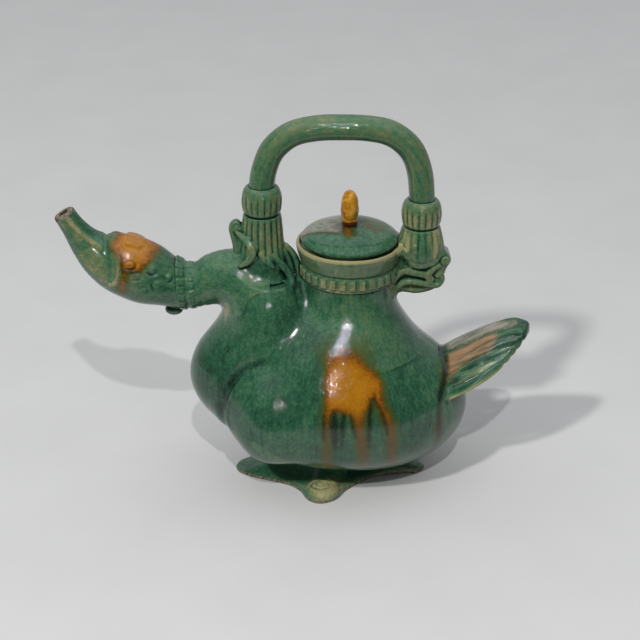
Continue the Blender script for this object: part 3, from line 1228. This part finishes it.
class Graph:
    """Short names for the nodes of a material or of the world."""

    def __init__(self, owner):
        owner.use_nodes = True
        self.nodes = owner.node_tree.nodes
        self.links = owner.node_tree.links

    def put(self, value, socket):
        if isinstance(value, (int, float)):
            socket.default_value = value
        elif isinstance(value, tuple):
            socket.default_value = (*value, 1)
        else:
            self.links.new(value, socket)

    def math(self, kind, a, b):
        node = self.nodes.new("ShaderNodeMath")
        node.operation = kind
        self.put(a, node.inputs[0])
        self.put(b, node.inputs[1])
        return node.outputs[0]

    def weighted(self, start, *terms):
        """A start value plus each term times its weight."""
        total = start
        for value, weight in terms:
            total = self.math("ADD", total, self.math("MULTIPLY", value, weight))
        return total

    def step(self, value, start, end, low=0.0, high=1.0):
        node = self.nodes.new("ShaderNodeMapRange")
        node.interpolation_type = "SMOOTHSTEP"
        self.put(value, node.inputs["Value"])
        for label, number in (("From Min", start), ("From Max", end), ("To Min", low), ("To Max", high)):
            node.inputs[label].default_value = number
        return node.outputs["Result"]

    def mix(self, share, a, b):
        node = self.nodes.new("ShaderNodeMix")
        node.data_type = "RGBA"
        self.put(share, node.inputs["Factor"])
        self.put(a, node.inputs["A"])
        self.put(b, node.inputs["B"])
        return node.outputs["Result"]

    def ramp(self, share, *stops):
        node = self.nodes.new("ShaderNodeValToRGB")
        while len(node.color_ramp.elements) < len(stops):
            node.color_ramp.elements.new(0.5)
        for element, (place, color) in zip(node.color_ramp.elements, stops):
            element.position = place
            element.color = (*color, 1)
        self.put(share, node.inputs["Fac"])
        return node.outputs["Color"]

    def height_and_depth(self, vector):
        """The Z and Y parts of a vector."""
        node = self.nodes.new("ShaderNodeSeparateXYZ")
        self.links.new(vector, node.inputs[0])
        return node.outputs["Z"], node.outputs["Y"]


class Coat(Graph):
    """The nodes of one material, laid out by place on the clay, in millimetres."""

    def __init__(self, name):
        self.material = bpy.data.materials.new(name)
        super().__init__(self.material)
        self.shader = self.nodes["Principled BSDF"]
        self.place = self.nodes.new("ShaderNodeTexCoord").outputs["Object"]
        brush = self.nodes.new("ShaderNodeAttribute")
        brush.attribute_name = "brush"
        self.brush = brush.outputs["Vector"]

    def value(self, name):
        node = self.nodes.new("ShaderNodeAttribute")
        node.attribute_name = name
        return node.outputs["Fac"]

    def noise(self, size, detail=3.0, roughness=0.55, offset=0.0, along_brush=False):
        """Noise from 0 to 1 whose features are about size millimetres across."""
        node = self.nodes.new("ShaderNodeTexNoise")
        node.noise_dimensions = "4D"
        node.inputs["W"].default_value = offset
        node.inputs["Scale"].default_value = 1 / (size * MM)
        node.inputs["Detail"].default_value = detail
        node.inputs["Roughness"].default_value = roughness
        self.links.new(self.brush if along_brush else self.place, node.inputs["Vector"])
        return self.step(node.outputs["Fac"], 0.25, 0.75)

    def crackle(self, size, width):
        """Fine cracks, as 1 along the edges of cells that are about size millimetres across."""
        node = self.nodes.new("ShaderNodeTexVoronoi")
        node.feature = "DISTANCE_TO_EDGE"
        node.inputs["Scale"].default_value = 1 / (size * MM)
        self.links.new(self.place, node.inputs["Vector"])
        return self.step(node.outputs["Distance"], 0.0, width / size, 1.0, 0.0)

    def bump(self, height, distance):
        node = self.nodes.new("ShaderNodeBump")
        node.inputs["Distance"].default_value = distance * MM
        self.put(height, node.inputs["Height"])
        self.links.new(node.outputs["Normal"], self.shader.inputs["Normal"])


def amber_color(g, edge):
    """Amber that runs to brown where it lies thin, at its edges and in its drips."""
    mottle = g.weighted(
        -0.12,
        (g.noise(6, 4, offset=3), 0.26),
        (g.noise(1.3, 3, offset=5), 0.36),
        (g.step(edge, -1, 6), 0.66),
        (g.step(g.value("pooled"), 0.2, 0.8), -0.6),
    )
    whole = g.ramp(mottle, (0.0, DEEP_AMBER), (0.22, BROWN_AMBER), (0.5, AMBER), (1.0, PALE_AMBER))
    height, _ = g.height_and_depth(g.place)
    return g.mix(g.step(height, DRIPS_FROM_Z * MM, DRIPS_TO_Z * MM, 0, 0.85), whole, DRIP_BROWN)


def make_glaze(name):
    """Green lead glaze that pools dark in hollows and runs thin over edges, with amber splashed over it."""
    g = Coat(name)
    broad = g.noise(24, 3, offset=1)
    mottle = g.noise(5, 5, 0.7, offset=2)
    grain = g.noise(1.2, 3, 0.75, offset=4)
    streak = g.noise(1.9, 4, 0.65, offset=6, along_brush=True)
    cracks = g.math("MAXIMUM", g.crackle(2.6, 0.2), g.math("MULTIPLY", g.crackle(5.5, 0.24), 0.8))
    tone = g.weighted(
        0.03, (broad, 0.18), (mottle, 0.22), (grain, 0.2), (streak, 0.22), (cracks, -0.1),
        (g.value("thin"), 1.0),
        (g.step(g.value("pooled"), 0.15, 0.9), -0.5),
        (g.step(g.value("sheltered"), 0.25, 1.1), -0.16),
        (g.step(g.value("raised"), 0.25, 0.7), 0.4),
    )
    green = g.ramp(tone, *GREENS)
    ragged = g.weighted(-0.9, (g.noise(3, 4, offset=7), 1.0), (g.noise(0.9, 2, offset=8), 0.8))
    edge = g.math("ADD", g.value("amber"), ragged)
    haloed = g.mix(g.step(edge, -4.5, 0.0, 0, 0.85), green, OLIVE)
    amber = g.mix(g.step(edge, -1.2, 1.2), haloed, amber_color(g, edge))
    pale = g.mix(g.step(g.math("ADD", g.value("ash"), ragged), -1.5, 2), PINK_WASH, ASH)
    washed = g.math("ADD", g.math("MAXIMUM", g.value("wash"), g.value("ash")), ragged)
    cover = g.math("MULTIPLY", g.step(washed, -1.2, 1.6), g.step(streak, 0.15, 0.75, 0.35, 0.95))
    clear = g.math("MULTIPLY", cover, g.step(g.value("pooled"), 0.25, 0.8, 1.0, 0.25))
    washed_over = g.mix(clear, amber, pale)
    dark = g.step(g.math("ADD", g.value("dark"), ragged), -1.6, 1.4, 0, 0.9)
    splashed = g.mix(dark, washed_over, RUN_BLACK)
    hole = g.step(g.value("dark"), -0.3, 0.6)
    clay = g.ramp(g.noise(1.6, 4, offset=9), (0.1, BURNT), (0.45, CLAY), (0.95, PALE_CLAY))
    chipped = g.weighted(-0.4, (g.noise(2, 3, offset=10), 0.8))
    bare = g.step(g.math("ADD", g.value("bare"), chipped), -0.3, 0.3)
    g.put(g.mix(bare, splashed, g.mix(hole, clay, BURNT)), g.shader.inputs["Base Color"])
    shine = g.weighted(0.015, (mottle, 0.02), (cracks, 0.05), (bare, 0.5))
    g.put(shine, g.shader.inputs["Roughness"])
    g.shader.inputs["IOR"].default_value = GLAZE_IOR
    relief = g.weighted(
        0.0, (broad, 0.4), (mottle, 0.22), (grain, 0.06), (streak, 0.12), (cracks, -0.08),
        (g.step(edge, -1, 1), 0.2),
    )
    g.bump(relief, GLAZE_RELIEF)
    return g.material


def make_amber():
    """Amber glaze of the bud, mottled and cracked, with a dark red pool round its foot."""
    g = Coat("amber_glaze")
    mottle = g.weighted(
        0.22, (g.noise(4, 4, offset=3), 0.5), (g.noise(1.2, 3, offset=5), 0.35), (g.crackle(2, 0.2), -0.2),
    )
    body = g.ramp(mottle, (0.05, BROWN_AMBER), (0.28, AMBER), (0.5, PALE_AMBER), (0.85, HONEY))
    foot = g.step(g.math("ADD", g.value("dark"), g.noise(2, 3, offset=12)), 0.1, 1.2)
    g.put(g.mix(foot, body, RED_POOL), g.shader.inputs["Base Color"])
    g.put(g.weighted(0.05, (g.noise(5), 0.05)), g.shader.inputs["Roughness"])
    g.shader.inputs["IOR"].default_value = AMBER_IOR
    relief = g.weighted(0.0, (g.noise(4, 3), 0.5), (g.noise(1.2, 2), 0.15), (g.crackle(2, 0.2), -0.1))
    g.bump(relief, AMBER_RELIEF)
    return g.material


# Stage
FLOOR_FRONT = -172.0  # the edge of the table, just below the picture
FLOOR_REACH = 3000.0
CLOTH = (0.575, 0.572, 0.56)


def make_stage():
    mesh = bpy.data.meshes.new("floor")
    near, far = FLOOR_FRONT * MM, FLOOR_REACH * MM
    mesh.from_pydata([(-far, near, 0), (far, near, 0), (far, far, 0), (-far, far, 0)], [], [(0, 1, 2, 3)])
    floor = bpy.data.objects.new("floor", mesh)
    bpy.context.scene.collection.objects.link(floor)
    g = Coat("cloth")
    g.put(g.mix(g.noise(60, 3), CLOTH, tuple(0.96 * c for c in CLOTH)), g.shader.inputs["Base Color"])
    g.shader.inputs["Roughness"].default_value = 0.9
    floor.data.materials.append(g.material)


HORIZON_DARK = (0.035, 0.036, 0.04)  # the dim room in front of the table
HORIZON_PALE = (0.42, 0.42, 0.44)  # the pale wall behind it
OVERHEAD = (0.78, 0.8, 0.84)
BEHIND_Y = (-0.1, 0.7)  # directions between which the room turns to the wall
ABOVE_Z = (0.42, 0.95)  # and between which they turn to the light overhead
LAMPS = [  # name, place and width in metres, watts, and whether the glaze mirrors it
    ("front_low", (0.0, -1.5, 0.7), 0.04, 1.6, True),
    ("left", (-1.0, -1.54, 1.86), 0.16, 36, False),
    ("right", (0.06, -1.8, 1.98), 0.06, 22, True),
]
LAMPS_AIM = Vector((0, 0, 0.09))


def area_light(name, at, width, power, mirrored):
    data = bpy.data.lights.new(name, "AREA")
    data.shape = "DISK"
    data.size = width
    data.energy = power
    lamp = bpy.data.objects.new(name, data)
    lamp.location = at
    lamp.visible_glossy = mirrored
    lamp.rotation_euler = (LAMPS_AIM - Vector(at)).to_track_quat("-Z", "Y").to_euler()
    bpy.context.scene.collection.objects.link(lamp)


def make_light():
    world = bpy.data.worlds.new("world")
    g = Graph(world)
    up, back = g.height_and_depth(g.nodes.new("ShaderNodeTexCoord").outputs["Generated"])
    horizon = g.mix(g.step(back, *BEHIND_Y), HORIZON_DARK, HORIZON_PALE)
    g.put(g.mix(g.step(up, *ABOVE_Z), horizon, OVERHEAD), g.nodes["Background"].inputs["Color"])
    bpy.context.scene.world = world
    for lamp in LAMPS:
        area_light(*lamp)


make_camera()
glaze = make_glaze("green_glaze")
materials = {"green_glaze": glaze, "pale_glaze": glaze, "dark_glaze": glaze, "amber_glaze": make_amber()}
for piece_name in PIECES:
    make_piece(piece_name, materials)
make_stage()
make_light()

bpy.context.scene.view_settings.view_transform = "Standard"
